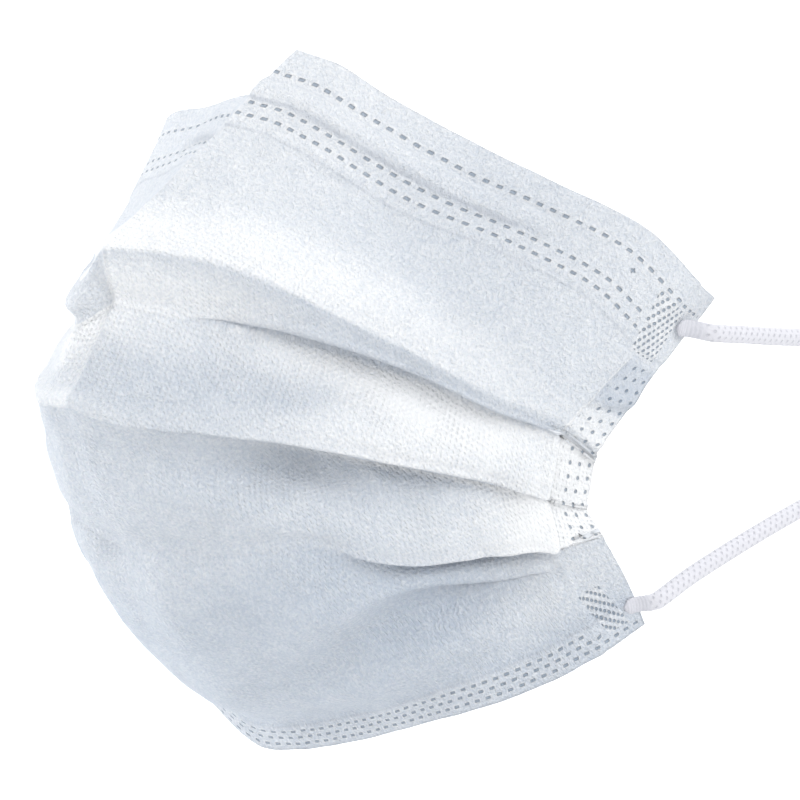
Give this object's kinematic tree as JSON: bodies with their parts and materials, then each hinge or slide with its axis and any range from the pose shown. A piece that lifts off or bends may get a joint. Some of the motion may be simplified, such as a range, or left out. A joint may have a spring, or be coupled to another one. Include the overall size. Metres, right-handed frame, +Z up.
{
  "type": "face mask",
  "caption": "Pleated cloth face mask held in its worn form, with a shaped nose wire, turned-in edges and round elastic ear loops.",
  "frame": {"origin": "seat on the bridge of the nose: the inner side of the top edge on the centre line, level with that edge", "axes": "+X towards the wearer's left, -Y the way the wearer looks, +Z up the face"},
  "size_m": [0.135, 0.1472, 0.112],
  "materials": {
    "body_cloth": "matt embossed nonwoven, cool white",
    "inner_cloth": "matt nonwoven, white",
    "coated_wire": "white coating over a soft wire",
    "elastic": "round knitted elastic, white"
  },
  "bodies": {
    "root": {"mask_body": "body_cloth", "top_hem": "inner_cloth", "bottom_hem": "inner_cloth", "nose_wire": "coated_wire", "ear_loop_left": "elastic", "ear_loop_right": "elastic"}
  },
  "joints": []
}
